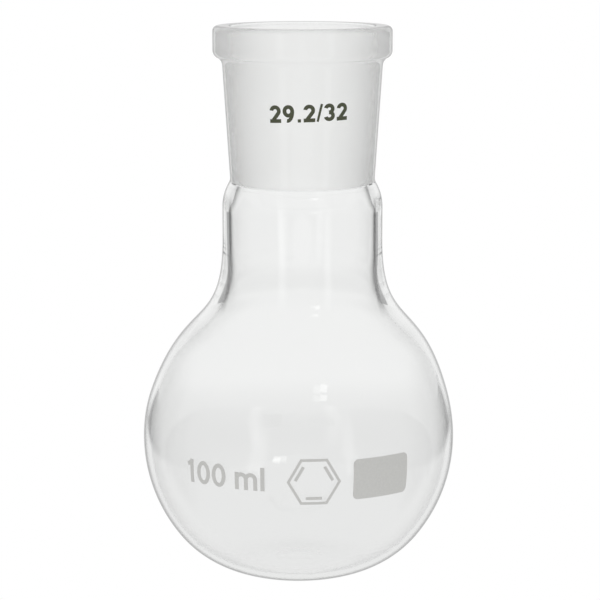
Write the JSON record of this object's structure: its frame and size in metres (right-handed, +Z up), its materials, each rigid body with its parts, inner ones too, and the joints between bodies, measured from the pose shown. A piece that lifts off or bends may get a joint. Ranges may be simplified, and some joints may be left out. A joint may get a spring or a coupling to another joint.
{
  "type": "flat bottom boiling flask",
  "caption": "Blown glass boiling flask: near-spherical globe on a flattened base, short neck and a ground taper socket with a rolled rim.",
  "frame": {"origin": "centre of the flattened base, on the plane the flask stands on", "axes": "+Z up along the flask's axis towards the socket mouth; the print faces -Y; +X to the right of the print"},
  "size_m": [0.0638, 0.0641, 0.1123],
  "materials": {
    "clear_glass": "clear fire-polished borosilicate glass",
    "ground_glass": "finely ground bore seen through clear glass, so the socket looks frosted",
    "olive_enamel": "dark olive fired enamel, satin",
    "grey_enamel": "pale grey fired enamel, matt and slightly grainy"
  },
  "bodies": {
    "root": {"joint_socket": "ground_glass", "neck_tube": "clear_glass", "shoulder": "clear_glass", "globe": "clear_glass", "base": "clear_glass", "joint_size_2_first": "olive_enamel", "joint_size_9": "olive_enamel", "joint_size_point": "olive_enamel", "joint_size_2_second": "olive_enamel", "joint_size_stroke": "olive_enamel", "joint_size_3": "olive_enamel", "joint_size_2_third": "olive_enamel", "capacity_1": "grey_enamel", "capacity_0_first": "grey_enamel", "capacity_0_second": "grey_enamel", "capacity_m": "grey_enamel", "capacity_l": "grey_enamel", "hexagon_outline": "grey_enamel", "hexagon_bar_1": "grey_enamel", "hexagon_bar_2": "grey_enamel", "hexagon_bar_3": "grey_enamel", "writing_patch": "grey_enamel"}
  },
  "joints": []
}
